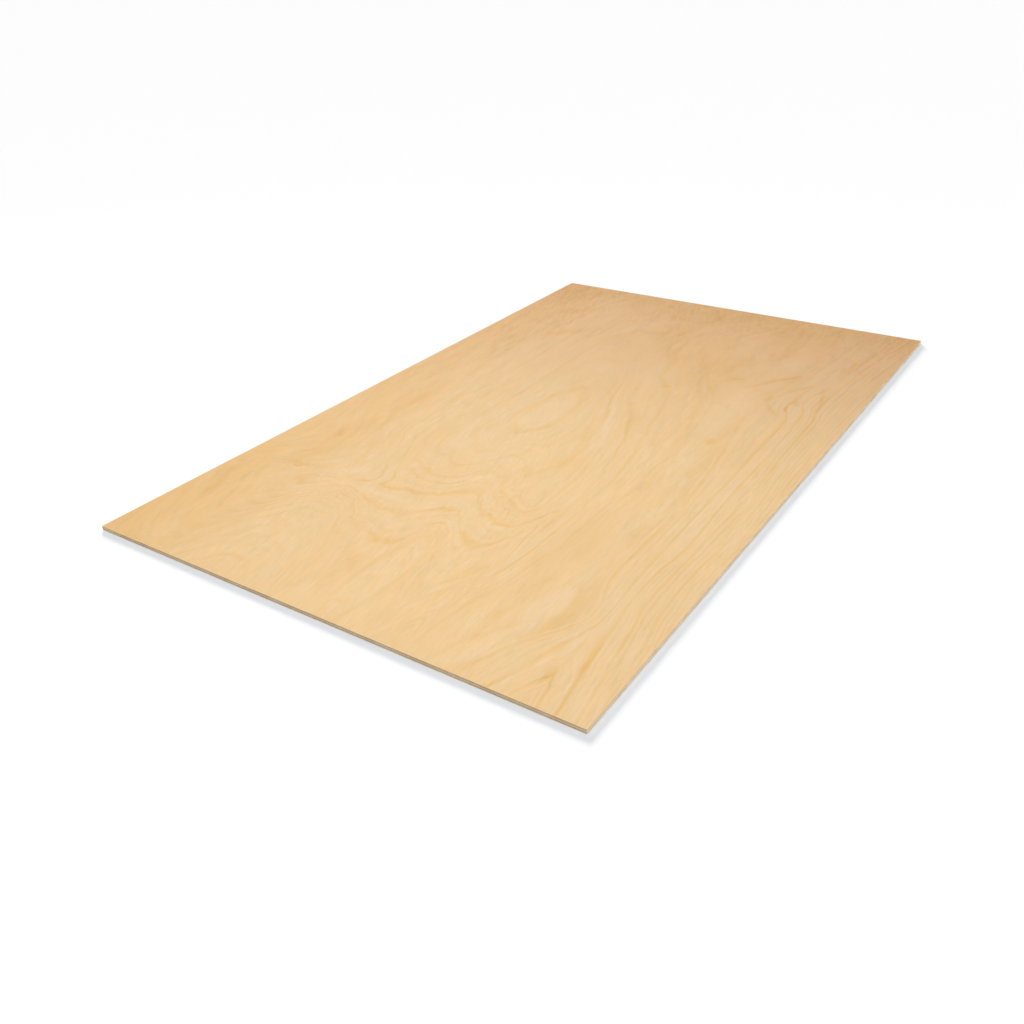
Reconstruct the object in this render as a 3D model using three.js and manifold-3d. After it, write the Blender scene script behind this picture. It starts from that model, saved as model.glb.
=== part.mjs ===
// A full sheet of birch plywood. Nine veneers are laid with the grain of each across its neighbours',
// hot-pressed into one solid panel, sawn to size and sanded on both faces. The grain of both face veneers
// runs along the sheet's length. Units are millimetres, +Z is up, and the sheet lies flat: length along Y,
// width along X, its back on z = 0 and the origin in the middle of the back.

import * as THREE from "three";
import { mergeVertices } from "three/addons/utils/BufferGeometryUtils.js";
import Module from "manifold-3d";

// Driving dimensions
const sheetLength = 2500; // along the face grain
const sheetWidth = 1525; // across the face grain
const plyCount = 9; // odd, so that the lay-up is balanced and both faces run the same way
const innerVeneer = 1.35; // thickness of each inner veneer once pressed
const faceVeneer = 1.05; // thickness left on each face veneer once sanded
const cornerRadius = 1.5; // the four corners, square from the saw and dulled by handling
const arrisRadius = 0.4; // the edges of both faces, softened by the sander
const grainStep = 0.1; // veneers shrink across their grain only, so an edge of long grain sits this far back

const cornerSteps = 5; // facets round each corner
const arrisSteps = 2; // facets across each softened arris

const sheetThickness = 2 * faceVeneer + (plyCount - 2) * innerVeneer;

const birch = new THREE.MeshStandardMaterial({
  name: "birch_plywood",
  color: 0xeacb9b,
  roughness: 0.62,
  metalness: 0,
  flatShading: true,
});

// A rectangle centred on the origin, with its corners rounded
function panelOutline(width, length) {
  const outline = new THREE.Shape();
  const x = width / 2 - cornerRadius;
  const y = length / 2 - cornerRadius;
  outline.absarc(x, y, cornerRadius, 0, Math.PI / 2);
  outline.absarc(-x, y, cornerRadius, Math.PI / 2, Math.PI);
  outline.absarc(-x, -y, cornerRadius, Math.PI, 1.5 * Math.PI);
  outline.absarc(x, -y, cornerRadius, 1.5 * Math.PI, 2 * Math.PI);
  return outline;
}

// One veneer, from height bottom up. Its end grain reaches the sawn size, and its long grain stops short
function veneer(bottom, thickness, grainAlongLength) {
  const width = sheetWidth - (grainAlongLength ? 2 * grainStep : 0);
  const length = sheetLength - (grainAlongLength ? 0 : 2 * grainStep);
  const slab = new THREE.ExtrudeGeometry(panelOutline(width, length), {
    depth: thickness,
    curveSegments: cornerSteps,
    bevelEnabled: false,
  });
  return slab.translate(0, 0, bottom);
}

// The sawn and sanded size that everything stays inside: square edges, with softened arrises
function sawnPanel() {
  const panel = new THREE.ExtrudeGeometry(panelOutline(sheetWidth, sheetLength), {
    depth: sheetThickness - 2 * arrisRadius,
    curveSegments: cornerSteps,
    bevelEnabled: true,
    bevelThickness: arrisRadius,
    bevelSize: arrisRadius,
    bevelOffset: -arrisRadius,
    bevelSegments: arrisSteps,
  });
  return panel.translate(0, 0, arrisRadius);
}

// The heights of the faces between veneers, with the back at 0 and the face at the full thickness
function glueLines() {
  const heights = [0, faceVeneer];
  for (let ply = 1; ply < plyCount - 1; ply += 1) {
    heights.push(faceVeneer + ply * innerVeneer);
  }
  heights.push(sheetThickness);
  return heights;
}

const wasm = await Module();
wasm.setup();

function toSolid(geometry) {
  geometry.deleteAttribute("normal");
  geometry.deleteAttribute("uv");
  const merged = mergeVertices(geometry, 1e-4);
  const vertProperties = new Float32Array(merged.attributes.position.array);
  const triVerts = new Uint32Array(merged.index.array);
  return new wasm.Manifold(new wasm.Mesh({ numProp: 3, vertProperties, triVerts }));
}

function toGeometry(solid) {
  const { vertProperties, triVerts } = solid.getMesh();
  const geometry = new THREE.BufferGeometry();
  geometry.setAttribute("position", new THREE.BufferAttribute(vertProperties, 3));
  geometry.setIndex(new THREE.BufferAttribute(triVerts, 1));
  return geometry;
}

// The pressed stack of veneers, trimmed to the sawn panel. The glue makes it one piece
function plywoodSheet() {
  const heights = glueLines();
  let stack = toSolid(veneer(heights[0], heights[1] - heights[0], true));
  for (let ply = 1; ply < plyCount; ply += 1) {
    const thickness = heights[ply + 1] - heights[ply];
    stack = stack.add(toSolid(veneer(heights[ply], thickness, ply % 2 === 0)));
  }
  const sheet = new THREE.Mesh(toGeometry(stack.intersect(toSolid(sawnPanel()))), birch);
  sheet.name = "plywood_sheet";
  return sheet;
}

const part = new THREE.Group();
part.add(plywoodSheet());

export default part;
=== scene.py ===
# Plywood sheet: the wood's looks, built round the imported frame.
# Metres, +Z up, with the length and the grain of both faces along Y
import math
from functools import partial, reduce

import bpy
from mathutils import Matrix, Vector


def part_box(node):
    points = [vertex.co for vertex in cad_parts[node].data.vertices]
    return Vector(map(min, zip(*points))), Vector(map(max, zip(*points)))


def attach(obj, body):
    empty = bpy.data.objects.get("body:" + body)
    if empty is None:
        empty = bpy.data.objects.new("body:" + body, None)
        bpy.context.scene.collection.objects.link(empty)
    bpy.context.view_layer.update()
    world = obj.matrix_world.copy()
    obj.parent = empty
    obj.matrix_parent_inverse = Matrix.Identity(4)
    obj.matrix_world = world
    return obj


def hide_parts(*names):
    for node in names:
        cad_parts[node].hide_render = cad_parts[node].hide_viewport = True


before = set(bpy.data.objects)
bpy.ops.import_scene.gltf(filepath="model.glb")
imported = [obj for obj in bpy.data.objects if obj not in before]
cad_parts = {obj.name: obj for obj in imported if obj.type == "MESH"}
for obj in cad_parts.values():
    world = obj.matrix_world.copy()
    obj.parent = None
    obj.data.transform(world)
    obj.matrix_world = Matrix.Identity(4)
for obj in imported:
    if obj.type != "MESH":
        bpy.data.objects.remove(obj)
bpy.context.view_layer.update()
sheetLow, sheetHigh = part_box("plywood_sheet")
sheetSize = sheetHigh - sheetLow
print("frame loaded, sheet", [round(side, 5) for side in sheetSize])


# Node helpers: a socket gets linked, and anything else becomes the input's own value. A new node goes
# into the tree of the sockets that are its inputs
def plug(value, socket):
    if isinstance(value, bpy.types.NodeSocket):
        socket.id_data.links.new(value, socket)
    else:
        socket.default_value = value


def addNode(kind, inputs, **settings):
    tree = next(value.id_data for value in inputs.values() if isinstance(value, bpy.types.NodeSocket))
    node = tree.nodes.new("ShaderNode" + kind)
    for name, value in settings.items():
        setattr(node, name, value)
    for name, value in inputs.items():
        plug(value, node.inputs[name])
    return node


def calc(operation, *values):
    return addNode("Math", dict(enumerate(values)), operation=operation).outputs[0]


def total(*values):
    return reduce(partial(calc, "ADD"), values)


def product(*values):
    return reduce(partial(calc, "MULTIPLY"), values)


def minus(value, less):
    return calc("SUBTRACT", value, less)


def scaled(value, factor, plus):
    return calc("MULTIPLY_ADD", value, factor, plus)


# Adds to a start each value that has a weight, times the weight of the same name
def weighted(start, values, weights):
    for name, weight in weights.items():
        start = scaled(values[name], weight, start)
    return start


# Noise runs from 0 to 1, and this makes it run from -1 to 1
def signed(value):
    return scaled(value, 2.0, -1.0)


def vectorCalc(operation, *values):
    node = addNode("VectorMath", dict(enumerate(values)), operation=operation)
    return node.outputs["Value" if operation == "LENGTH" else "Vector"]


def axes(vector):
    return addNode("SeparateXYZ", {"Vector": vector}).outputs


def joined(x=0.0, y=0.0, z=0.0):
    return addNode("CombineXYZ", {"X": x, "Y": y, "Z": z}).outputs[0]


# Goes from toLow to toHigh and no further. Smoothstep holds its ends by itself
def remap(value, low, high, toLow=0.0, toHigh=1.0, smooth=True):
    kind = "SMOOTHSTEP" if smooth else "LINEAR"
    inputs = dict(enumerate((value, low, high, toLow, toHigh)))
    return addNode("MapRange", inputs, interpolation_type=kind, clamp=not smooth).outputs[0]


def mixColours(share, first, second, blend="MIX"):
    inputs = {0: share, 6: first, 7: second}
    node = addNode("Mix", inputs, data_type="RGBA", blend_type=blend, clamp_factor=False)
    return node.outputs[2]


def tinted(share, colour, tint):
    return mixColours(share, colour, tint, "MULTIPLY")


# Mixes tones over a colour, each in the share that its weights give of the layers
def layered(colour, layers, mixes, tones):
    for tone, weights in mixes.items():
        colour = mixColours(weighted(0.0, layers, weights), colour, tones[tone])
    return colour


def addRelief(shader, height, look):
    inputs = {"Strength": look["bump"], "Distance": look["bumpHeight"], "Height": height}
    plug(addNode("Bump", inputs).outputs[0], shader["Normal"])


def noise(vector, scale=1.0, detail=2.0, roughness=0.5):
    inputs = {"Vector": vector, "Scale": scale, "Detail": detail, "Roughness": roughness}
    return addNode("TexNoise", inputs).outputs[0]


# Noise with a scale of its own along each axis
def stretchedNoise(vector, scale, place=(0, 0, 0), detail=2.0, roughness=0.5):
    laid = addNode("Mapping", {"Vector": vector, "Location": place, "Scale": scale}).outputs[0]
    return noise(laid, 1.0, detail, roughness)


# Noise round nought: scale is in waves a metre across and along, reach is about its largest value,
# and each seed gives another part of the noise
def drift(vector, scale, seed, reach=1.0, detail=3.0, roughness=0.5):
    across, along = scale
    place = (seed, seed * 1.7, seed * 0.6)
    cloud = stretchedNoise(vector, (across, along, across), place, detail, roughness)
    return product(minus(cloud, 0.5), 2.0 * reach)


def newGroup(name, inputs, outputs):
    group = bpy.data.node_groups.new(name, "ShaderNodeTree")
    for label, kind in inputs.items():
        group.interface.new_socket(label, in_out="INPUT", socket_type="NodeSocket" + kind)
    for label in outputs:
        group.interface.new_socket(label, in_out="OUTPUT", socket_type="NodeSocketFloat")
    given = group.nodes.new("NodeGroupInput").outputs
    wanted = group.nodes.new("NodeGroupOutput").inputs
    return group, given, wanted


def useGroup(group, inputs):
    return dict(addNode("Group", inputs, node_tree=group).outputs.items())


def newMaterial(name):
    material = bpy.data.materials.new(name)
    material.use_nodes = True
    return material, material.node_tree.nodes["Principled BSDF"].inputs


def objectPlace(material):
    return material.node_tree.nodes.new("ShaderNodeTexCoord").outputs["Object"]


# In the dictionaries, a range is where a change starts and ends, and then what it goes from and to, if that
# isn't 0 and 1. It may start at the higher end

ringLook = {
    "lean": 0.7,  # how far late wood is drawn towards the next ring
    "earlyWood": -0.5,  # a paler line follows each dark one
    "earlyTurn": 1.5,  # and stands this far after it, where a ring is 6.28
    "toneScale": 0.7,
    "toneDetail": 1.5,
}


# Growth rings: depth counts rings. Each ring has one line of late wood, sharp towards the next ring and
# followed by a paler line of early wood, equally strong all along, and a tone that drifts between rings
def growthRingsGroup():
    inputs = {"Depth": "Float", "Sharpness": "Float", "Ring Seed": "Float", "Weakest": "Float"}
    group, given, wanted = newGroup("growthRings", inputs, ("Late Wood", "Ring Tone"))

    def wave(turn):
        upright = scaled(calc("COSINE", turn), 0.5, 0.5)
        return calc("POWER", upright, given["Sharpness"])

    turn = product(given["Depth"], 2 * math.pi)
    lean = scaled(calc("COSINE", turn), ringLook["lean"], -ringLook["lean"])
    late = wave(total(turn, lean))
    early = wave(minus(turn, ringLook["earlyTurn"]))
    line = scaled(early, ringLook["earlyWood"], late)
    ring = total(calc("ROUND", given["Depth"]), given["Ring Seed"])
    luck = addNode("TexWhiteNoise", {"W": ring}, noise_dimensions="1D").outputs[0]
    strength = remap(luck, 0.0, 1.0, given["Weakest"], 1.0, smooth=False)
    plug(product(line, strength), wanted["Late Wood"])
    place = total(given["Depth"], given["Ring Seed"])
    inputs = {"W": place, "Scale": ringLook["toneScale"], "Detail": ringLook["toneDetail"]}
    slow = addNode("TexNoise", inputs, noise_dimensions="1D").outputs[0]
    plug(signed(slow), wanted["Ring Tone"])
    return group


fibreLook = {
    "streaks": dict(detail=5.0, roughness=0.72),
    "vessels": dict(scale=(22.0, 26.0, 22.0), place=(3.1, 7.7, 1.3), detail=1.0),
    "vesselRange": (0.60, 0.72),
    "vesselHeight": -0.5,
    "flecks": dict(scale=(5.0, 9.0, 5.0), place=(12.4, 2.2, 5.1), detail=1.0),
    "fleckRange": (0.765, 0.80),
}


# Fibre: lengthwise streaks, short vessel lines and rare brown pith flecks, with the height that goes with
# them. Across and Along are in waves a metre
def woodFibreGroup():
    inputs = {"Vector": "Vector", "Across": "Float", "Along": "Float"}
    group, given, wanted = newGroup("woodFibre", inputs, ("Streaks", "Vessels", "Flecks", "Height"))
    scale = joined(given["Across"], given["Along"], given["Across"])
    laid = vectorCalc("MULTIPLY", given["Vector"], scale)
    streaks = signed(noise(laid, **fibreLook["streaks"]))
    vessels = remap(stretchedNoise(laid, **fibreLook["vessels"]), *fibreLook["vesselRange"])
    flecks = remap(stretchedNoise(laid, **fibreLook["flecks"]), *fibreLook["fleckRange"])
    plug(streaks, wanted["Streaks"])
    plug(vessels, wanted["Vessels"])
    plug(flecks, wanted["Flecks"])
    height = scaled(vessels, fibreLook["vesselHeight"], streaks)
    plug(height, wanted["Height"])
    return group


# Patch: a soft oval mark in the veneer, turned by its lean. Size holds its half width and half length
def woodPatchGroup():
    inputs = {"Vector": "Vector", "Place": "Vector", "Size": "Vector", "Lean": "Vector", "Core": "Float"}
    group, given, wanted = newGroup("woodPatch", inputs, ("Mask",))
    inputs = {"Vector": given["Vector"], "Location": given["Place"], "Rotation": given["Lean"]}
    local = addNode("Mapping", {**inputs, "Scale": given["Size"]}, vector_type="TEXTURE").outputs[0]
    ball = addNode("TexGradient", {"Vector": local}, gradient_type="SPHERICAL").outputs["Fac"]
    plug(remap(ball, 0.0, minus(1.0, given["Core"])), wanted["Mask"])
    return group


toneLook = {
    "Shade": dict(scale=(7.0, 3.0), seed=2.0, roughness=0.55),
    "Warmth": dict(scale=(13.0, 4.5), seed=6.0, roughness=0.6),
    "Blush": dict(scale=(26.0, 9.0), seed=9.0, roughness=0.6),
}


# Tone: the cloudiness of a peeled veneer, from light to dark, to yellow and to pink
def veneerToneGroup():
    group, given, wanted = newGroup("veneerTone", {"Vector": "Vector", "Seed": "Vector"}, toneLook)
    moved = vectorCalc("ADD", given["Vector"], given["Seed"])
    for name, look in toneLook.items():
        plug(drift(moved, **look), wanted[name])
    return group


wearLook = {
    "ragged": dict(scale=(90.0, 90.0), seed=3.0, reach=0.8, roughness=0.6),
    "rubbedRange": (0.15, 0.9, 1.0, 0.0),  # in reaches from the edge
    "cloudy": dict(scale=(9.0, 9.0), seed=8.0, detail=4.0, roughness=0.6),
    "cloudyRange": (-0.1, 0.5),
    "soiledRange": (0.0, 9.0, 1.0, 0.0),
}


# Wear: worn and soiled wood beside a sharp edge. Gap is the distance to that edge
def edgeWearGroup():
    inputs = {"Vector": "Vector", "Gap": "Float", "Reach": "Float"}
    group, given, wanted = newGroup("edgeWear", inputs, ("Rubbed", "Soiled"))
    gap = calc("DIVIDE", given["Gap"], given["Reach"])
    near = total(gap, drift(given["Vector"], **wearLook["ragged"]))
    plug(remap(near, *wearLook["rubbedRange"]), wanted["Rubbed"])
    cloudy = remap(drift(given["Vector"], **wearLook["cloudy"]), *wearLook["cloudyRange"])
    plug(product(remap(gap, *wearLook["soiledRange"]), cloudy), wanted["Soiled"])
    return group


growthRings = growthRingsGroup()
woodFibre = woodFibreGroup()
woodPatch = woodPatchGroup()
veneerTone = veneerToneGroup()
edgeWear = edgeWearGroup()
print("shared effects built")


sheet = {
    "plyCount": 9,
    "faceVeneer": 0.00105,
    "innerVeneer": 0.00135,
    "grainStep": 0.0001,  # an edge of long grain sits this far behind the end grain
    "cornerRadius": 0.0015,
    "cornerSteps": 5,
    "arris": 0.0004,
    "arrisSteps": 2,
    "straightOn": 0.999,  # a cosine: faces turned further from a side belong to its corners
    "steepest": 0.1,  # a facet of the arris that turns up by more than this is finished like the face
    "smoothUnder": 35.0,  # degrees
}

glueLines = [sheet["faceVeneer"] + ply * sheet["innerVeneer"] for ply in range(sheet["plyCount"] - 1)]


def setMode(mode):
    bpy.ops.object.mode_set(mode=mode)


# Leaves the piece in edit mode, with only the parts selected that pass the test
def selectParts(piece, kind, test):
    setMode("EDIT")
    bpy.ops.mesh.select_mode(type=kind)
    bpy.ops.mesh.select_all(action="DESELECT")
    setMode("OBJECT")
    parts = piece.data.edges if kind == "EDGE" else piece.data.polygons
    for part in parts:
        part.select = test(part)
    setMode("EDIT")


# The edges of the cross veneers, on one of the four sides, go out or in along it
def moveCrossVeneers(piece, side, distance):
    def onSide(face):
        ply = sum(height < face.center.z for height in glueLines)
        return ply % 2 == 1 and face.normal.dot(side) > sheet["straightOn"]

    selectParts(piece, "FACE", onSide)
    bpy.ops.mesh.extrude_region_move(TRANSFORM_OT_translate={"value": side * distance})
    setMode("OBJECT")


def makeSheet():
    bpy.ops.object.select_all(action="DESELECT")
    block = sheetSize - Vector((2 * sheet["grainStep"], 0, 0))  # the face veneers stop short of the sides
    bpy.ops.mesh.primitive_cube_add(size=1, location=(sheetLow + sheetHigh) / 2, scale=block)
    bpy.ops.object.transform_apply(location=True, rotation=True, scale=True)
    piece = bpy.context.object
    piece.name = "plywoodSheet"

    def rise(edge):
        heights = [piece.data.vertices[corner].co.z for corner in edge.vertices]
        return max(heights) - min(heights)

    selectParts(piece, "EDGE", lambda edge: rise(edge) > sheetSize.z / 2)
    bpy.ops.mesh.bevel(offset=sheet["cornerRadius"], segments=sheet["cornerSteps"], affect="EDGES")
    selectParts(piece, "EDGE", lambda edge: rise(edge) < sheet["arris"])
    bpy.ops.mesh.bevel(offset=sheet["arris"], segments=sheet["arrisSteps"], affect="EDGES")
    for height in glueLines:
        bpy.ops.mesh.select_all(action="SELECT")
        bpy.ops.mesh.bisect(plane_co=(0, 0, height), plane_no=(0, 0, 1))
    setMode("OBJECT")
    for direction in (1, -1):
        moveCrossVeneers(piece, Vector((direction, 0, 0)), sheet["grainStep"])
    for direction in (1, -1):
        moveCrossVeneers(piece, Vector((0, direction, 0)), -sheet["grainStep"])
    return piece


plywood = makeSheet()
print("sheet modelled,", len(plywood.data.polygons), "faces")


# A line drawn through a few points, which gives the second number of each for the first
def drawnLine(value, points):
    first, last = points[0][0], points[-1][0]
    low = min(point[1] for point in points)
    span = max(point[1] for point in points) - low
    node = addNode("FloatCurve", {"Value": remap(value, first, last, smooth=False)})
    curve = node.mapping.curves[0]
    ends = (curve.points[0], curve.points[1])
    for number, (along, level) in enumerate(points):
        spot = ((along - first) / (last - first), (level - low) / span)
        if number == 0 or number == len(points) - 1:
            ends[number > 0].location = spot
        else:
            curve.points.new(*spot)
    for point in curve.points:
        point.handle_type = "AUTO_CLAMPED"
    node.mapping.update()
    return scaled(node.outputs[0], span, low)


# Depth between lines of known depth, given in rising order as (depth, place of the line)
def between(value, lines):
    result = lines[0][0]
    for (depth, start), (nextDepth, end) in zip(lines, lines[1:]):
        reached = remap(value, start, end, depth, nextDepth, smooth=False)
        result = total(result, minus(reached, depth))
    return result


# A mark darkens where its strength is above nought, and makes the wood paler below it. The lean turns it
# anticlockwise, in degrees, and the core is the share of it that is at full strength
def mark(x, y, halfWidth, halfLength, strength, lean=0, core=0.0):
    turn = (0, 0, math.radians(lean))
    return {"Place": (x, y, 0), "Size": (halfWidth, halfLength, 1), "Lean": turn, "Core": core}, strength


def allMarks(place, marks):
    result = 0.0
    for look, strength in marks:
        mask = useGroup(woodPatch, {"Vector": place, **look})["Mask"]
        result = scaled(mask, strength, result)
    return result


bothFaces = {
    "fibre": {"Across": 75.0, "Along": 14.0},
    "wearReach": 0.0016,
    "bump": 0.25,
    "bumpHeight": 0.0002,
    "specular": 0.1,
}


def edgeGap(place):
    flat = vectorCalc("ABSOLUTE", place)
    gaps = axes(vectorCalc("SUBTRACT", (sheetHigh.x, sheetHigh.y, 1.0), flat))
    return calc("MINIMUM", gaps["X"], gaps["Y"])


# What both figures have: rings, finer hair lines between them, and clouds of tone
def figureLayers(place, depth, clear, wood):
    rings = useGroup(growthRings, {"Depth": depth, **wood["ringLines"]})
    finer = scaled(depth, wood["hairsARing"], drift(place, **wood["hairDrift"]))
    hairs = useGroup(growthRings, {"Depth": finer, **wood["hairLines"]})
    return {
        **useGroup(veneerTone, {"Vector": place, "Seed": wood["toneSeed"]}),
        "Ring Tone": rings["Ring Tone"],
        "rings": product(rings["Late Wood"], clear),
        "hairs": product(hairs["Late Wood"], clear),
    }


# Fibre, wear, roughness and bump, which go over the figure in the same way on both faces
def finishFace(shader, place, grain, lively, colour, layers, wood):
    gap = edgeGap(place)
    fibre = useGroup(woodFibre, {"Vector": grain, **bothFaces["fibre"]})
    wear = useGroup(edgeWear, {"Vector": place, "Gap": gap, "Reach": bothFaces["wearReach"]})
    layers = {**layers, **fibre, **wear, "Streaks": product(fibre["Streaks"], lively)}
    plug(layered(colour, layers, wood["finish"], wood), shader["Base Color"])
    plug(weighted(wood["roughness"], layers, wood["roughening"]), shader["Roughness"])
    addRelief(shader, fibre["Height"], bothFaces)
    shader["Specular IOR Level"].default_value = bothFaces["specular"]


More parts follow.
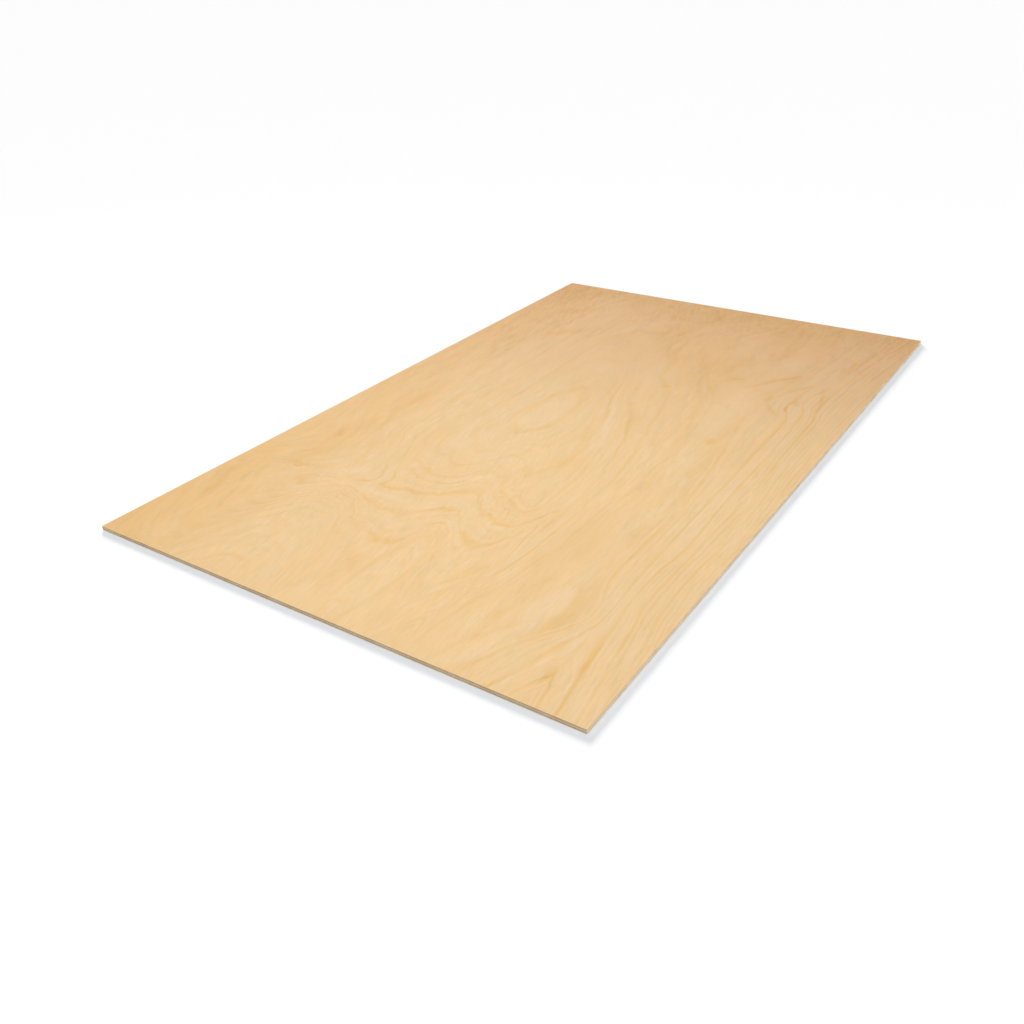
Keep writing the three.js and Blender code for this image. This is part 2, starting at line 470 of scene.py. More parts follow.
bestFace = {
    "pale": (0.692, 0.478, 0.245, 1),
    "late": (0.665, 0.397, 0.127, 1),  # late wood, at full strength
    "dull": (0.598, 0.403, 0.178, 1),  # the dark of the streaks
    "blush": (0.755, 0.492, 0.230, 1),
    "rubbed": (0.78, 0.64, 0.47, 1),
    "fleck": (0.30, 0.15, 0.06, 1),
    "soil": (0.42, 0.33, 0.22, 1),
    # How much of each layer turns the wood towards those colours: first the figure over the pale wood, then
    # the finish over its tints. Capitals are outputs of the shared effects
    "figure": {
        "late": {"rings": 0.76, "hairs": 0.60, "Ring Tone": 0.12, "marks": 0.34, "broad": 0.25,
                 "orange": 0.46, "Warmth": 0.25},
        "dull": {"dark": 0.36, "hairs": 0.35, "Shade": 0.12, "broad": 0.08},
        "blush": {"pink": 0.60, "Blush": 0.60},
    },
    "finish": {
        "dull": {"Streaks": 0.80, "Vessels": 0.60},
        "fleck": {"Flecks": 0.15},
        "soil": {"Soiled": 0.10},
        "rubbed": {"Rubbed": 0.35},
    },
    "roughness": 0.80,
    "roughening": {"Vessels": 0.06, "rings": -0.038, "hairs": -0.03, "Soiled": -0.08, "Rubbed": 0.06},
    "toneSeed": (1.0, 2.0, 0.0),
    # The far end is darker with painted shade, where the light falls off, and its last part once more. The
    # right side is greyer, the left side is dimmed with painted shade against the key lamp's sheen, and the
    # left edge is warmer, partly in the veneer's own tone and partly painted shade. Each tint has its range
    # across the sheet, along it, or both
    "tintsAndPaintedShade": [
        # painted shade: the far end darkened where the light falls off, and its last part once more
        {"colour": (0.81, 0.70, 0.64, 1), "Y": (-0.35, 1.38)},
        {"colour": (0.95, 0.93, 0.84, 1), "Y": (0.92, 1.22)},
        {"colour": (0.972, 1.0, 1.11, 1), "X": (0.35, 0.65), "Y": (0.0, 0.7, 0.4)},
        # painted shade: the near left is dimmed against the key lamp's sheen
        {"colour": (0.958, 0.947, 0.928, 1), "X": (0.15, -0.45), "Y": (1.0, 0.3)},
        # the left edge warmer: partly the veneer's own tone, partly painted shade against the key lamp's
        # sheen
        {"colour": (0.95, 0.88, 0.72, 1), "X": (-0.33, -0.80)},
    ],
    # Rings wander, but those of the quarter grain on the right run straighter
    "driftAcross": dict(scale=(30.0, 6.0), seed=4.0, reach=0.008),
    "driftAlong": dict(scale=(45.0, 14.0), seed=5.0, reach=0.022),
    "depthDrift": dict(scale=(16.0, 4.0), seed=2.0, reach=0.35),
    "straighter": (0.40, 0.54, 1.0, 0.35),
    "ringLines": {"Sharpness": 5.0, "Ring Seed": 31.0, "Weakest": 0.6},
    "hairsARing": 3.0,
    "hairDrift": dict(scale=(60.0, 8.0), seed=3.0, reach=0.5, detail=2.0),
    "hairLines": {"Sharpness": 2.5, "Ring Seed": 7.0, "Weakest": 0.0},
    # The fibre leans by this many metres a metre, more on the left than on the right
    "fibreLean": (-0.15, 0.65, 0.26, 0.04),
    # Mottle is finer across the sheet at its near left, left of this place
    "fineLeftOf": -0.3,
    "finer": 15.0,
    "fineAlong": (-0.85, -0.45),
    "mottleScale": (14.0, 6.5, 2.6),  # waves a metre across and along, and waves a ring
    "mottleFarther": -3.2,  # the waves along are longer in the far half
    "mottle": {"Scale": 1.0, "Detail": 5.0, "Roughness": 0.70},
    # The mottle and streaks are livelier at the far end and on the left, and in some patches
    "livelyAlong": (0.0, 0.9, 1.0, 1.3),
    "livelyLeft": (-0.2, -0.5, 0.0, 0.5),
    "livelyLeftAlong": (1.0, 0.4),
    "livelyDrift": dict(scale=(5.5, 3.2), seed=14.0, detail=2.0),
    "livelyRange": (-0.35, 0.35, 0.65, 1.2),
    "markMottle": 0.8,
    # Rings are faint but for the strip on the right and the places in clearRings, and broken up
    "clear": 0.36,
    "stripStart": (0.35, 0.75, 0.0, 0.12),
    "stripEdge": (0.47, 0.54, 0.0, 0.36),
    "brokenDrift": dict(scale=(14.0, 4.0), seed=11.0),
    "brokenRange": (-0.35, 0.25, 0.35, 1.0),
    "clearRings": [
        mark(-0.02, -0.69, 0.42, 0.28, 0.55, core=0.5),
        mark(0.13, 0.05, 0.13, 0.5, 0.15, lean=20, core=0.2),
        mark(0.6, 0.4, 0.13, 0.26, 0.25, core=0.3),
        mark(0.6, -1.15, 0.16, 0.34, 0.32, core=0.4),
        mark(0.255, -0.97, 0.09, 0.42, 0.35, lean=-10, core=0.3),
        mark(-0.56, -0.95, 0.25, 0.35, 0.2, core=0.3),
    ],
    "darkMarks": [
        mark(0.437, 0.608, 0.014, 0.17, 1.5, lean=-36, core=0.3),
        mark(0.538, 0.59, 0.015, 0.11, 1.5, lean=-30),
        mark(0.623, 0.542, 0.012, 0.11, 1.6, lean=15),
        mark(0.632, 0.868, 0.014, 0.13, 1.0, lean=33),
        mark(0.583, 0.8, 0.012, 0.1, 0.7, lean=-15),
        mark(0.472, 0.458, 0.014, 0.06, 1.3, lean=5),
        mark(0.506, 0.385, 0.014, 0.075, 1.3, lean=35),
        mark(0.318, 0.563, 0.035, 0.018, 1.5),
        mark(0.267, 0.66, 0.022, 0.1, 0.6),
        mark(0.61, -1.135, 0.016, 0.07, 1.2),
        mark(0.636, 0.4, 0.01, 0.08, 1.1, lean=5),
        mark(0.562, 0.455, 0.03, 0.018, 1.3, lean=-25),
        mark(0.608, 0.39, 0.012, 0.11, 0.9, lean=12),
        mark(0.285, 0.74, 0.035, 0.07, 0.7),
        mark(0.31, 0.56, 0.055, 0.06, 0.7),
        mark(0.13, 0.387, 0.024, 0.028, 1.5),
        mark(0.185, 0.32, 0.04, 0.06, 0.5, lean=30),
        mark(0.44, 0.064, 0.028, 0.034, 1.8),
        mark(0.46, 0.13, 0.02, 0.11, 0.7, lean=-12),
        mark(0.5, 0.0, 0.018, 0.22, 0.3),
        mark(-0.012, 0.24, 0.018, 0.11, 0.7, lean=50),
        mark(0.162, 0.06, 0.022, 0.26, 0.5, lean=20, core=0.3),
        mark(0.075, -0.06, 0.014, 0.32, 0.8, lean=17),
        mark(0.01, 0.665, 0.03, 0.14, 0.6, lean=20),
        mark(0.585, 0.7, 0.03, 0.08, 0.4),
        mark(-0.35, 0.35, 0.024, 0.18, 0.6, lean=-4),
        mark(-0.19, -0.03, 0.02, 0.07, 0.6),
        mark(-0.165, 0.13, 0.024, 0.12, 0.5),
        mark(-0.44, 0.69, 0.045, 0.14, 1.4, lean=-40),
        mark(-0.535, 0.935, 0.05, 0.19, 1.5, lean=-48),
        mark(-0.565, -0.69, 0.06, 0.022, 1.1),
        mark(-0.23, -0.668, 0.16, 0.025, 0.7, lean=2),
        mark(-0.045, -0.612, 0.085, 0.015, 0.65, lean=35),
        mark(0.09, -0.648, 0.09, 0.012, 0.9, lean=-35),
        mark(0.08, -0.562, 0.075, 0.012, 0.9, lean=-29),
        mark(0.212, -0.566, 0.045, 0.011, 0.7, lean=45),
        mark(0.168, -0.79, 0.06, 0.012, 0.65, lean=5),
        mark(-0.27, -0.76, 0.1, 0.03, 0.7, lean=-12),
        mark(0.395, -0.33, 0.026, 0.14, 0.6),
        mark(0.475, -0.34, 0.024, 0.14, 0.7),
        mark(-0.05, -0.905, 0.08, 0.028, 0.9, lean=10),
        mark(-0.06, -1.03, 0.04, 0.045, 0.5, lean=10),
        mark(0.478, -0.945, 0.06, 0.15, 0.45, lean=-4, core=0.8),
        mark(0.432, -1.135, 0.05, 0.195, 0.5, lean=-27, core=0.8),
        mark(0.05, -1.04, 0.062, 0.255, 0.7, core=0.8),
        mark(0.23, -1.01, 0.015, 0.12, 0.9, lean=-15),
        mark(0.22, -0.92, 0.015, 0.09, 0.9, lean=-32),
        mark(-0.505, -0.865, 0.013, 0.08, 0.8, lean=-38),
        mark(-0.468, -0.88, 0.011, 0.07, 0.7, lean=-30),
        mark(-0.433, -0.885, 0.011, 0.085, 0.7, lean=-22),
        mark(-0.195, -0.935, 0.014, 0.15, 0.7, lean=36),
        mark(-0.12, -0.88, 0.012, 0.1, 0.6, lean=58),
        mark(-0.332, -0.47, 0.014, 0.1, 0.6, lean=25),
        mark(-0.4, -0.526, 0.014, 0.06, 0.7, lean=23),
    ],
    "paleMarks": [
        mark(0.11, 0.01, 0.018, 0.32, -0.6, lean=21, core=0.2),
        mark(0.368, 0.485, 0.045, 0.04, -0.7),
        mark(0.428, -0.137, 0.045, 0.2, -0.6),
        mark(0.478, -0.945, 0.05, 0.135, -1.3, lean=-4, core=0.5),
        mark(0.432, -1.135, 0.04, 0.18, -1.1, lean=-27, core=0.5),
        mark(0.05, -1.04, 0.052, 0.24, -1.05, core=0.75),
        mark(-0.14, 0.41, 0.034, 0.065, -0.6),
        mark(-0.2, -0.716, 0.18, 0.022, -0.8, lean=2),
        mark(0.165, -0.702, 0.05, 0.016, -0.7, lean=-5),
        mark(-0.13, -0.815, 0.12, 0.016, -0.6, lean=-5),
        mark(-0.362, -0.64, 0.07, 0.045, -0.8),
        mark(-0.06, -0.51, 0.022, 0.11, -0.9, lean=-50),
        mark(0.268, -0.43, 0.016, 0.13, -0.8),
        mark(0.595, -0.995, 0.02, 0.06, -1.1),
        mark(0.58, 0.4, 0.014, 0.06, -1.0, lean=8),
        mark(-0.125, -0.06, 0.05, 0.17, 0.3, core=0.4),
        mark(-0.426, -1.041, 0.022, 0.17, -0.7, lean=-33),
        mark(-0.294, -0.64, 0.016, 0.06, -0.9, core=0.3),
    ],
    # Broad changes of tone over the peel
    "broadMarks": [
        mark(-0.7, 1.1, 0.16, 0.26, 0.7, core=0.2),
        mark(-0.5, 1.05, 0.14, 0.19, -0.7, lean=-30, core=0.2),
        mark(-0.72, 0.64, 0.12, 0.3, 0.6),
        mark(-0.5, 0.22, 0.11, 0.3, -0.2, core=0.2),
        mark(-0.575, -0.33, 0.11, 0.52, 1.0, core=0.3),
        mark(-0.64, -0.33, 0.035, 0.34, -0.5),
        mark(-0.72, -0.06, 0.08, 0.5, 0.5),
        mark(-0.064, 0.88, 0.11, 0.46, 0.8, lean=22, core=0.2),
        mark(0.185, 0.58, 0.17, 0.26, 0.8, lean=15, core=0.2),
        mark(0.23, 0.96, 0.13, 0.2, -0.5),
        mark(0.435, 0.8, 0.09, 0.19, -0.8, lean=-15),
        mark(0.4, 0.3, 0.1, 0.24, -0.8, core=0.4),
        mark(0.51, 0.64, 0.06, 0.16, 0.4),
        mark(-0.14, -0.06, 0.16, 0.56, -0.25, core=0.3),
        mark(0.178, 0.08, 0.04, 0.15, 0.6, lean=17),
        mark(0.12, -0.28, 0.11, 0.12, 0.6),
        mark(0.385, -0.68, 0.09, 0.28, 0.7, core=0.3),
        mark(0.43, -0.4, 0.08, 0.24, 0.4),
        mark(-0.43, -0.28, 0.07, 0.32, 0.45),
        mark(-0.7, 1.17, 0.11, 0.08, 0.6),
        mark(0.005, 1.13, 0.05, 0.16, 1.0),
        mark(-0.254, -1.06, 0.15, 0.2, -0.35, core=0.2),
        mark(-0.06, -1.06, 0.05, 0.14, 0.6),
        mark(-0.7, -0.88, 0.1, 0.28, 0.6),
        mark(-0.33, -0.3, 0.08, 0.3, 0.6),
    ],
    # Lines of the zigzag below the heart, as (x, y), by the ring depth that they have
    "ringsAcross": {
        -1: [(-0.77, -0.85), (-0.68, -1.08), (-0.58, -1.15), (-0.5, -1.08), (-0.41, -0.91), (-0.3, -0.84),
             (-0.18, -1.04), (-0.04, -1.3), (-0.01, -1.1), (0.03, -0.845), (0.1, -0.98), (0.155, -1.3),
             (0.24, -1.04), (0.31, -0.86)],
        0: [(-0.77, -0.62), (-0.68, -0.86), (-0.57, -0.96), (-0.5, -0.93), (-0.42, -0.84), (-0.32, -0.77),
            (-0.18, -0.87), (-0.03, -0.915), (0.0, -0.82), (0.025, -0.757), (0.1, -0.865),
            (0.168, -1.016), (0.23, -0.94), (0.292, -0.787)],
        1: [(-0.77, -0.4), (-0.66, -0.7), (-0.55, -0.81), (-0.42, -0.755), (-0.32, -0.735),
            (-0.216, -0.774), (-0.127, -0.782), (-0.05, -0.735), (0.016, -0.686), (0.065, -0.728),
            (0.127, -0.779), (0.173, -0.79), (0.22, -0.74), (0.29, -0.57)],
        2: [(-0.77, -0.2), (-0.65, -0.5), (-0.54, -0.68), (-0.42, -0.68), (-0.343, -0.685),
            (-0.254, -0.664), (-0.165, -0.664), (-0.038, -0.603), (0.005, -0.578), (0.046, -0.613),
            (0.127, -0.664), (0.178, -0.667), (0.224, -0.64), (0.285, -0.42)],
        3: [(-0.77, 0.0), (-0.62, -0.3), (-0.48, -0.5), (-0.3, -0.5), (-0.2, -0.52), (-0.152, -0.545),
            (-0.089, -0.507), (0.0, -0.405), (0.063, -0.532), (0.127, -0.578), (0.173, -0.588),
            (0.216, -0.532), (0.285, -0.28)],
    },
    "zigzagSpacing": (0.085, 0.11),  # metres a ring above and below these
    "zigzagEnd": (0.25, 0.34, 0.0, 8.0),
    # Lines that run along the sheet, as (y, x)
    "ringsAlong": {
        "farLeft": [(-1.25, -0.62), (-0.6, -0.64), (0.0, -0.8), (1.25, -1.1)],
        "left": [(-1.25, -0.225), (-0.66, -0.235), (-0.6, -0.262), (-0.532, -0.295), (-0.405, -0.35),
                 (-0.28, -0.385), (0.0, -0.372), (0.37, -0.365), (0.9, -0.36), (1.25, -0.38)],
        "heart": [(-1.25, -0.107), (0.25, -0.107), (0.6, -0.15), (1.25, -0.25)],
        "right": [(-1.25, 0.175), (-1.04, 0.22), (-0.92, 0.25), (-0.79, 0.27), (-0.6, 0.28),
                  (-0.38, 0.27), (-0.2, 0.245), (-0.1, 0.216), (0.0, 0.178), (0.23, 0.076), (0.4, 0.02),
                  (0.73, -0.07), (1.25, -0.2)],
        "rightNext": [(-1.25, 0.2), (-1.04, 0.245), (-0.92, 0.28), (-0.79, 0.305), (-0.6, 0.31),
                      (-0.38, 0.305), (-0.18, 0.285), (0.0, 0.25), (0.24, 0.18), (0.385, 0.13),
                      (0.486, 0.076), (0.63, 0.04), (0.73, 0.01), (1.25, -0.08)],
        "valley": [(-1.25, 0.33), (-0.6, 0.38), (0.0, 0.39), (0.25, 0.36), (0.45, 0.3), (0.75, 0.2),
                   (1.25, 0.08)],
        "stripOuter": [(-1.25, 0.432), (-1.118, 0.475), (-1.04, 0.521), (-0.965, 0.564), (-0.9, 0.58),
                       (-0.81, 0.559), (-0.685, 0.541), (-0.405, 0.539), (0.0, 0.503), (0.13, 0.485),
                       (0.28, 0.463), (0.42, 0.473), (0.51, 0.498), (0.74, 0.53), (1.25, 0.52)],
        "stripInner": [(-1.25, 0.516), (-1.17, 0.546), (-1.05, 0.572), (-0.96, 0.6), (-0.915, 0.61),
                       (-0.79, 0.605), (-0.28, 0.592), (0.08, 0.587), (0.28, 0.588), (0.37, 0.569),
                       (0.455, 0.547), (0.61, 0.565), (1.25, 0.56)],
        "stripHeart": [(-1.25, 0.615), (-1.09, 0.618), (-0.79, 0.615), (-0.28, 0.61), (0.08, 0.605),
                       (0.23, 0.595), (0.41, 0.58), (0.47, 0.57), (0.61, 0.585), (1.25, 0.59)],
        "stripRight": [(-1.25, 0.686), (-1.04, 0.66), (-0.915, 0.646), (-0.79, 0.63), (-0.71, 0.628),
                       (-0.53, 0.643), (-0.28, 0.629), (0.1, 0.625), (0.41, 0.608), (0.47, 0.585),
                       (0.61, 0.61), (1.25, 0.62)],
        "stripNext": [(-1.25, 0.737), (-1.04, 0.704), (-0.915, 0.686), (-0.79, 0.668), (-0.53, 0.668),
                      (-0.18, 0.673), (0.1, 0.661), (0.36, 0.655), (0.46, 0.641), (0.61, 0.645),
                      (1.25, 0.655)],
        "stripLast": [(-1.25, 0.77), (-0.965, 0.737), (-0.79, 0.712), (-0.66, 0.707), (-0.4, 0.717),
                      (0.1, 0.699), (1.25, 0.69)],
    },
    # Their ring depths from left to right. A third number is a place beside the line
    "depthsAlong": [
        (-1.5, "farLeft"), (0.5, "left", -0.07), (2.0, "left"), (8.0, "heart"), (2.0, "right"),
        (1.0, "rightNext"), (-0.5, "valley"), (-0.35, "stripOuter", -0.015), (0.0, "stripOuter"),
        (1.0, "stripInner"), (1.0, "stripHeart"), (1.0, "stripRight"), (0.0, "stripNext"),
        (-1.0, "stripLast"), (-2.5, "stripLast", 0.055),
    ],
    # How far the strip's heart rises above its depth, as (y, rings)
    "stripHeartHeight": [(-1.25, 1.8), (-1.2, 1.5), (-1.13, 1.0), (-0.99, 0.3), (-0.79, 0.5),
                         (0.155, 0.5), (0.31, 0.8), (0.4, 0.9), (0.47, 0.0), (0.51, -0.3), (1.25, -0.3)],
    # The lines along rise out of the zigzag's way below the heart
    "liftAlong": (-0.60, -0.95, 0.0, 5.0),
    "liftAcross": (0.0, 0.15, 1.0, 0.0),
    # Bowls round the heart: they are long, and longer beyond their middle than before it
    "bowlMiddle": -0.035,
    "bowlSlopes": (6.6, 1.9, -3.3),  # beside the middle, beyond it and before it
    "bowlDepth": 6.7,
    "bowlStep": -1.6,
    "bowlEnd": (0.10, 0.35, 0.0, 8.0),
    "zigzagBlend": 0.6,
    "bowlBlend": 1.0,
}


# The best face's ring depth: bowls round a long heart, a zigzag below them and quarter grain on the right
def bestFaceDepth(place):
    parts = axes(place)
    x, y = parts["X"], parts["Y"]
    across = [(depth, drawnLine(x, points)) for depth, points in bestFace["ringsAcross"].items()]
    aboveStep, underStep = bestFace["zigzagSpacing"]
    above = calc("DIVIDE", minus(y, across[-1][1]), aboveStep)
    under = calc("DIVIDE", minus(y, across[0][1]), underStep)
    above, under = calc("MAXIMUM", above, 0.0), calc("MINIMUM", under, 0.0)
    zigzag = total(between(y, across), above, under, remap(x, *bestFace["zigzagEnd"]))
    line = {name: drawnLine(y, points) for name, points in bestFace["ringsAlong"].items()}
    along = []
    for depth, name, *beside in bestFace["depthsAlong"]:
        if name == "stripHeart":
            depth = total(drawnLine(y, bestFace["stripHeartHeight"]), depth)
        along.append((depth, total(line[name], *beside)))
    lift = product(remap(y, *bestFace["liftAlong"]), remap(x, *bestFace["liftAcross"]))
    lifted = total(between(x, along), lift)
    fromMiddle = minus(y, bestFace["bowlMiddle"])
    beside, beyond, before = bestFace["bowlSlopes"]
    pointed = calc("MAXIMUM", product(fromMiddle, beyond), product(fromMiddle, before))
    sideways = product(minus(x, line["heart"]), beside)
    away = vectorCalc("LENGTH", joined(sideways, pointed))
    bowls = scaled(away, bestFace["bowlStep"], bestFace["bowlDepth"])
    bowls = total(bowls, remap(x, *bestFace["bowlEnd"]))
    lower = calc("SMOOTH_MIN", lifted, zigzag, bestFace["zigzagBlend"])
    return calc("SMOOTH_MIN", lower, bowls, bestFace["bowlBlend"])


# Dark, orange and pink mottle that follows both the fibre and the rings
def bestFaceMottle(y, leant, depth, lively):
    fine = calc("MINIMUM", minus(leant, bestFace["fineLeftOf"]), 0.0)
    fine = product(fine, bestFace["finer"], remap(y, *bestFace["fineAlong"]))
    across, along, ringwise = bestFace["mottleScale"]
    farHalf = calc("MAXIMUM", y, 0.0)
    ringPlace = joined(
        scaled(leant, across, fine),
        scaled(farHalf, bestFace["mottleFarther"], product(y, along)),
        product(depth, ringwise),
    )
    colours = addNode("TexNoise", {"Vector": ringPlace, **bestFace["mottle"]}).outputs["Color"]
    colours = vectorCalc("MULTIPLY_ADD", colours, (2, 2, 2), (-1, -1, -1))  # from -1 to 1
    mottle = axes(vectorCalc("MULTIPLY", colours, lively))
    return {"dark": mottle["X"], "orange": mottle["Y"], "pink": mottle["Z"]}


def bestFaceMaterial():
    material, shader = newMaterial("birchBestFace")
    place = objectPlace(material)
    parts = axes(place)
    x, y = parts["X"], parts["Y"]
    straighter = remap(x, *bestFace["straighter"])
    shift = joined(
        product(drift(place, **bestFace["driftAcross"]), straighter),
        drift(place, **bestFace["driftAlong"]),
    )
    warped = vectorCalc("ADD", place, shift)
    depthDrift = product(drift(place, **bestFace["depthDrift"]), straighter)
    depth = total(bestFaceDepth(warped), depthDrift)
    leant = total(x, product(remap(x, *bestFace["fibreLean"], smooth=False), y))
    livelyLeft = remap(x, *bestFace["livelyLeft"])
    livelyLeft = product(livelyLeft, remap(y, *bestFace["livelyLeftAlong"]))
    patches = remap(drift(place, **bestFace["livelyDrift"]), *bestFace["livelyRange"])
    lively = product(total(remap(y, *bestFace["livelyAlong"]), livelyLeft), patches)
    stripGap = minus(x, remap(y, *bestFace["stripStart"]))
    strip = remap(stripGap, *bestFace["stripEdge"])
    broken = remap(drift(place, **bestFace["brokenDrift"]), *bestFace["brokenRange"])
    clear = total(allMarks(warped, bestFace["clearRings"]), strip, bestFace["clear"])
    layers = {
        **figureLayers(place, depth, product(clear, broken), bestFace),
        **bestFaceMottle(y, leant, depth, lively),
        "broad": allMarks(warped, bestFace["broadMarks"]),
    }
    spots = allMarks(warped, bestFace["darkMarks"] + bestFace["paleMarks"])
    uneven = scaled(layers["dark"], bestFace["markMottle"], 1.0)
    layers["marks"] = product(spots, uneven)
    colour = layered(bestFace["pale"], layers, bestFace["figure"], bestFace)
    # The tints, painted shade among them, go over the wood's colour
    for tint in bestFace["tintsAndPaintedShade"]:
        shares = [remap(parts[axis], *tint[axis]) for axis in "XY" if axis in tint]
        colour = tinted(product(*shares), colour, tint["colour"])
    finishFace(shader, place, joined(leant, y), lively, colour, layers, bestFace)
    return material


# The back is a plainer peel of the same log
backFace = {
    "pale": (0.64, 0.455, 0.255, 1),
    "late": (0.57, 0.355, 0.140, 1),
    "dull": (0.54, 0.375, 0.19, 1),
    "blush": (0.69, 0.46, 0.24, 1),
    "rubbed": (0.76, 0.62, 0.45, 1),
    "fleck": (0.30, 0.15, 0.06, 1),
    "soil": (0.42, 0.33, 0.22, 1),
    "figure": {
        "late": {"rings": 0.55, "hairs": 0.275, "Ring Tone": 0.22, "marks": 0.5, "Warmth": 0.40},
        "dull": {"Shade": 0.20},
        "blush": {"Blush": 0.45},
    },
    "finish": {
        "dull": {"Streaks": 0.45, "Vessels": 0.30},
        "fleck": {"Flecks": 0.60},
        "soil": {"Soiled": 0.16},
        "rubbed": {"Rubbed": 0.40},
    },
    "roughness": 0.84,
    "roughening": {"Vessels": 0.06, "rings": -0.05, "hairs": -0.025, "Soiled": -0.08, "Rubbed": 0.06},
    "toneSeed": (5.0, -3.0, 0.0),
    "ringsAMetre": 9.0,
    "driftAcross": dict(scale=(22.0, 5.0), seed=24.0, reach=0.010, detail=2.0),
    "broadDrift": dict(scale=(2.4, 0.75), seed=21.0, reach=9.0, detail=2.0, roughness=0.4),
    "depthDrift": dict(scale=(12.0, 2.5), seed=22.0, reach=0.6),
    "ringLines": {"Sharpness": 2.2, "Ring Seed": 60.0, "Weakest": 0.15},
    "hairsARing": 3.3,
    "hairDrift": dict(scale=(60.0, 8.0), seed=23.0, reach=0.6, detail=2.0),
    "hairLines": {"Sharpness": 1.5, "Ring Seed": 80.0, "Weakest": 0.0},
    "clearDrift": dict(scale=(4.0, 1.4), seed=25.0),
    "clearRange": (-0.3, 0.3, 0.25, 1.0),
    "marks": [
        mark(-0.27, 0.61, 0.02, 0.026, 2.2),
        mark(-0.27, 0.6, 0.045, 0.11, 0.6),
        mark(0.35, -0.42, 0.016, 0.02, 2.4),
        mark(0.35, -0.43, 0.04, 0.1, 0.6),
        mark(0.1, 0.98, 0.013, 0.017, 2.0),
        mark(-0.52, -0.85, 0.018, 0.19, 0.8, lean=3),
        mark(0.56, 0.31, 0.014, 0.24, 0.7, lean=-2),
        mark(-0.05, -0.15, 0.1, 0.3, -0.7, core=0.2),
    ],
}


def backFaceMaterial():
    material, shader = newMaterial("birchBackFace")
    place = objectPlace(material)
    warped = vectorCalc("ADD", place, joined(drift(place, **backFace["driftAcross"])))
    depth = total(
        product(axes(place)["X"], backFace["ringsAMetre"]),
        drift(warped, **backFace["broadDrift"]),
        drift(warped, **backFace["depthDrift"]),
    )
    clear = remap(drift(place, **backFace["clearDrift"]), *backFace["clearRange"])
    layers = figureLayers(place, depth, clear, backFace)
    layers["marks"] = allMarks(warped, backFace["marks"])
    colour = layered(backFace["pale"], layers, backFace["figure"], backFace)
    finishFace(shader, place, place, 1.0, colour, layers, backFace)
    return material


sawnEdge = {
    "longGrain": (0.80, 0.62, 0.41, 1),
    "longDark": (0.66, 0.49, 0.29, 1),
    "endGrain": (0.60, 0.46, 0.285, 1),
    "endDark": (0.40, 0.275, 0.15, 1),
    "plySeeds": (3.7, 40.0),  # each veneer and each pair of sides has a part of the noise to itself
    # Scales are in waves a metre along the edge and up it
    "longFibre": dict(scale=(45.0, 2600.0, 1.0), detail=3.0, roughness=0.6),
    "longRange": (0.35, 0.70),
    "pores": dict(scale=2400.0, roughness=0.6),
    "poreRange": (0.45, 0.75, 0.0, 0.6),
    "checks": dict(scale=(650.0, 260.0, 1.0)),  # cracks that peeling left in the veneer
    "checkRange": (0.60, 0.70),
    "checkShare": 0.5,
    # Brown stains: by ply from the back up, in places along the edge, and less on the long edges
    "browner": (0.84, 0.78, 0.66, 1),
    "plyTones": (0.5, 1.0, 0.6, -0.2, -0.5, -0.2, 0.6, 1.2, 0.5),
    "stains": dict(scale=(16.0, 1.0), seed=33.0, reach=1.4, detail=4.0, roughness=0.6),
    "paleSides": -0.9,
    # Clouds of a darker tone in each veneer
    "cloud": (0.80, 0.76, 0.72, 1),
    "cloudScale": 2.0,
    "cloudShare": 0.9,
    "cloudBase": -0.35,
    "keyFacingShade": (0.68, 0.67, 0.66, 1),  # painted shade: the left and far edges, which face the key lamp, are darkened
    "glue": (0.20, 0.125, 0.075, 1),
    "glueWidth": 0.00009,
    "glueBlur": 2.2,  # the line has faded out at this many half widths
    "glueWander": dict(scale=(35.0, 1.0), seed=31.0, reach=0.00007),
    "glueThin": dict(scale=(120.0, 300.0, 1.0)),
    "glueRange": (0.3, 0.6, 0.35, 0.9),
    "rubbed": (0.80, 0.67, 0.50, 1),
    "rubbing": 0.5,
    "wearReach": 0.0006,
    "sawMarks": dict(scale=(420.0, 25.0, 0.0), roughness=0.6),
    "heights": {"pores": 0.5, "checks": -0.6, "sawMarks": 0.6, "glue": -0.4},
    "bump": 0.4,
    "bumpHeight": 0.0002,
    "roughness": 0.85,
    "endRoughness": 0.06,
    "specular": 0.1,
}


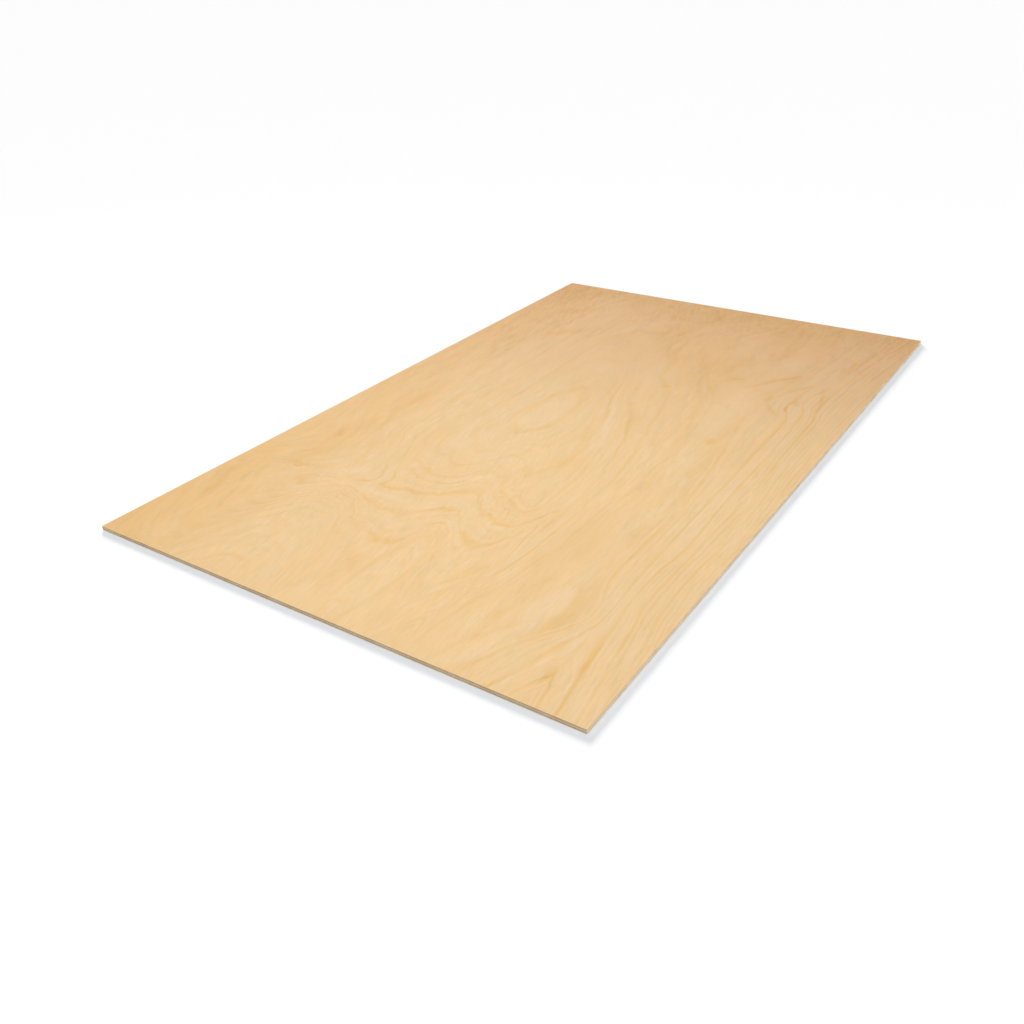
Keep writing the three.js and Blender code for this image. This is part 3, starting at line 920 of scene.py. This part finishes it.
def sawnEdgeMaterial():
    material, shader = newMaterial("sawnPlyEdge")
    place = objectPlace(material)
    parts = axes(place)
    x, y, z = parts["X"], parts["Y"], parts["Z"]
    gapX = minus(calc("ABSOLUTE", x), sheetHigh.x)
    gapY = minus(calc("ABSOLUTE", y), sheetHigh.y)
    onLong = calc("GREATER_THAN", gapX, gapY)
    onShort = minus(1.0, onLong)
    run = total(product(y, onLong), product(x, onShort))
    runOnly = joined(run, onLong)

    # The ply that a height lies in, counted from 0 at the back, with its fraction
    height = total(z, drift(runOnly, **sawnEdge["glueWander"]))
    inner = minus(height, sheet["faceVeneer"])
    count = total(calc("DIVIDE", inner, sheet["innerVeneer"]), 1.0)
    ply = calc("FLOOR", count)
    odd = calc("MODULO", ply, 2.0)
    endGrain = calc("ABSOLUTE", minus(odd, onShort))

    plySeed, sideSeed = sawnEdge["plySeeds"]
    offset = scaled(ply, plySeed, product(onLong, sideSeed))
    inVeneer = joined(total(run, offset), z)
    longFibre = stretchedNoise(inVeneer, **sawnEdge["longFibre"])
    pores = noise(inVeneer, **sawnEdge["pores"])
    checks = remap(stretchedNoise(inVeneer, **sawnEdge["checks"]), *sawnEdge["checkRange"])
    longShare = remap(longFibre, *sawnEdge["longRange"])
    longWood = mixColours(longShare, sawnEdge["longGrain"], sawnEdge["longDark"])
    speckle = remap(pores, *sawnEdge["poreRange"])
    speckle = scaled(checks, sawnEdge["checkShare"], speckle)
    endWood = mixColours(speckle, sawnEdge["endGrain"], sawnEdge["endDark"])
    colour = mixColours(endGrain, longWood, endWood)

    stains = drawnLine(ply, list(enumerate(sawnEdge["plyTones"])))
    stains = total(stains, drift(runOnly, **sawnEdge["stains"]))
    stains = scaled(onLong, sawnEdge["paleSides"], stains)
    colour = tinted(stains, colour, sawnEdge["browner"])
    cloud = noise(joined(product(run, sawnEdge["cloudScale"]), offset))
    cloudShare = scaled(cloud, sawnEdge["cloudShare"], sawnEdge["cloudBase"])
    colour = tinted(cloudShare, colour, sawnEdge["cloud"])
    # Painted shade on the two edges that face the key lamp
    leftSide = product(onLong, calc("LESS_THAN", x, 0.0))
    farSide = product(onShort, calc("GREATER_THAN", y, 0.0))
    colour = tinted(total(leftSide, farSide), colour, sawnEdge["keyFacingShade"])

    # Glue lines lie between the veneers, and not on the two faces
    toGlue = calc("ABSOLUTE", minus(count, calc("ROUND", count)))
    halfGlue = 0.5 * sawnEdge["glueWidth"] / sheet["innerVeneer"]
    line = remap(toGlue, halfGlue, sawnEdge["glueBlur"] * halfGlue, 1.0, 0.0)
    underFace = calc("LESS_THAN", count, sheet["plyCount"] - 0.5)
    inside = product(calc("GREATER_THAN", count, 0.5), underFace)
    thin = remap(stretchedNoise(inVeneer, **sawnEdge["glueThin"]), *sawnEdge["glueRange"])
    line = product(line, inside, thin)
    colour = mixColours(line, colour, sawnEdge["glue"])
    gap = calc("MINIMUM", minus(sheetHigh.z, z), z)
    wear = useGroup(edgeWear, {"Vector": place, "Gap": gap, "Reach": sawnEdge["wearReach"]})
    rubbed = product(wear["Rubbed"], sawnEdge["rubbing"])
    plug(mixColours(rubbed, colour, sawnEdge["rubbed"]), shader["Base Color"])

    sawMarks = stretchedNoise(joined(run, z, offset), **sawnEdge["sawMarks"])
    layers = {"pores": product(pores, endGrain), "checks": checks, "sawMarks": sawMarks, "glue": line}
    addRelief(shader, weighted(0.0, layers, sawnEdge["heights"]), sawnEdge)
    rough = scaled(endGrain, sawnEdge["endRoughness"], sawnEdge["roughness"])
    plug(rough, shader["Roughness"])
    shader["Specular IOR Level"].default_value = sawnEdge["specular"]
    return material


def finishSheet(piece):
    mesh = piece.data
    for material in (bestFaceMaterial(), backFaceMaterial(), sawnEdgeMaterial()):
        mesh.materials.append(material)
    for face in mesh.polygons:
        rising = face.normal.z > sheet["steepest"] and face.center.z > sheetHigh.z - sheet["arris"]
        falling = face.normal.z < -sheet["steepest"] and face.center.z < sheetLow.z + sheet["arris"]
        face.material_index = 0 if rising else 1 if falling else 2
    bpy.ops.object.shade_smooth_by_angle(angle=math.radians(sheet["smoothUnder"]))
    flatFaces = piece.modifiers.new("flatFaces", "WEIGHTED_NORMAL")
    flatFaces.weight = 100
    flatFaces.keep_sharp = True
    bpy.ops.object.modifier_apply(modifier=flatFaces.name)


finishSheet(plywood)
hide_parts("plywood_sheet")
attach(plywood, "root")
print("sheet finished")


studio = {
    "floorSpread": 200.0,  # how many times the size of the sheet the floor is
    "floorOverlap": 0.006,
    "floorGap": 0.0002,
    "floorColour": (0.9, 0.9, 0.9, 1),
    "floorRoughness": 0.9,
    "ambient": 0.14,
    "ambientColour": (0.95, 1.0, 1.07, 1),
    "softboxPlace": (0.2, -1.6, 3.5),
    "softboxSize": 2.0,
    "softboxPower": 19.0,
    "sunPlace": (0, 0, 5),  # only to be seen there: a sun shines the same from any place
}

# Heading is where a lamp stands: 0 is in front of the sheet, 180 behind it, and 90 on its left
lamps = {
    "key": dict(height=15.5, heading=135.0, spread=23.0, strength=5.03, colour=(1.075, 1.0, 0.915)),
    "overhead": dict(height=88.0, heading=0.0, spread=60.0, strength=0.80, colour=(0.955, 1.0, 1.05)),
    "fill": dict(height=25.0, heading=-65.0, spread=40.0, strength=2.0, colour=(0.955, 1.0, 1.05)),
    "below": dict(height=-90.0, heading=0.0, spread=10.0, strength=2.6, colour=(1.0, 1.0, 1.0)),
}

view = {
    "place": (1.50088, -2.54789, 1.36872),
    "turn": 34.755,
    "tilt": 60.073,
    "roll": -1.941,
    "lens": 35.056,
    "farthest": 400.0,
}


# The floor is open under the sheet, so that the lamp below reaches its back
def makeFloor():
    bpy.ops.object.select_all(action="DESELECT")
    opening = sheetSize - Vector((1, 1, 0)) * 2 * studio["floorOverlap"]
    bpy.ops.mesh.primitive_plane_add(size=1, location=(0, 0, -studio["floorGap"]), scale=opening)
    bpy.ops.object.transform_apply(location=False, rotation=True, scale=True)
    floor = bpy.context.object
    setMode("EDIT")
    bpy.ops.mesh.select_mode(type="EDGE")
    bpy.ops.mesh.select_all(action="SELECT")
    bpy.ops.mesh.delete(type="ONLY_FACE")
    bpy.ops.mesh.select_all(action="SELECT")
    bpy.ops.mesh.extrude_edges_move()
    bpy.ops.transform.resize(value=(studio["floorSpread"], studio["floorSpread"], 1))
    setMode("OBJECT")
    floor.name = "floor"
    material, shader = newMaterial("paleFloor")
    shader["Base Color"].default_value = studio["floorColour"]
    shader["Roughness"].default_value = studio["floorRoughness"]
    shader["Specular IOR Level"].default_value = 0.0
    floor.data.materials.append(material)


def addSun(name, height, heading, spread, strength, colour):
    bpy.ops.object.light_add(type="SUN", location=studio["sunPlace"])
    sun = bpy.context.object
    sun.name = name
    height, heading = math.radians(height), math.radians(heading)
    level = math.cos(height)
    towards = Vector((-level * math.sin(heading), -level * math.cos(heading), math.sin(height)))
    sun.rotation_euler = towards.to_track_quat("Z", "Y").to_euler()
    sun.data.energy = strength
    sun.data.color = colour
    sun.data.angle = math.radians(spread)


# The camera sees plain white all round, and the wood gets only the faint ambient light of it
def makeLights():
    world = bpy.data.worlds.new("studioWhite")
    bpy.context.scene.world = world
    world.use_nodes = True
    tree = world.node_tree
    background = tree.nodes["Background"].inputs
    seen = tree.nodes.new("ShaderNodeLightPath").outputs["Is Camera Ray"]
    plug(remap(seen, 0.0, 1.0, studio["ambient"], 1.0, smooth=False), background["Strength"])
    plug(mixColours(seen, studio["ambientColour"], (1, 1, 1, 1)), background["Color"])
    for name, lamp in lamps.items():
        addSun(name, **lamp)
    bpy.ops.object.light_add(type="AREA", location=studio["softboxPlace"])
    softbox = bpy.context.object
    softbox.name = "softbox"
    softbox.data.size = studio["softboxSize"]
    softbox.data.energy = studio["softboxPower"]


def makeCamera():
    bpy.ops.object.camera_add(location=view["place"])
    camera = bpy.context.object
    turn, tilt, roll = (math.radians(view[name]) for name in ("turn", "tilt", "roll"))
    pose = Matrix.Rotation(turn, 3, "Z") @ Matrix.Rotation(tilt, 3, "X") @ Matrix.Rotation(roll, 3, "Z")
    camera.rotation_euler = pose.to_euler()
    camera.data.lens = view["lens"]
    camera.data.clip_end = view["farthest"]
    bpy.context.scene.camera = camera


makeFloor()
makeLights()
makeCamera()
bpy.context.scene.view_settings.view_transform = "Standard"
print("studio set")
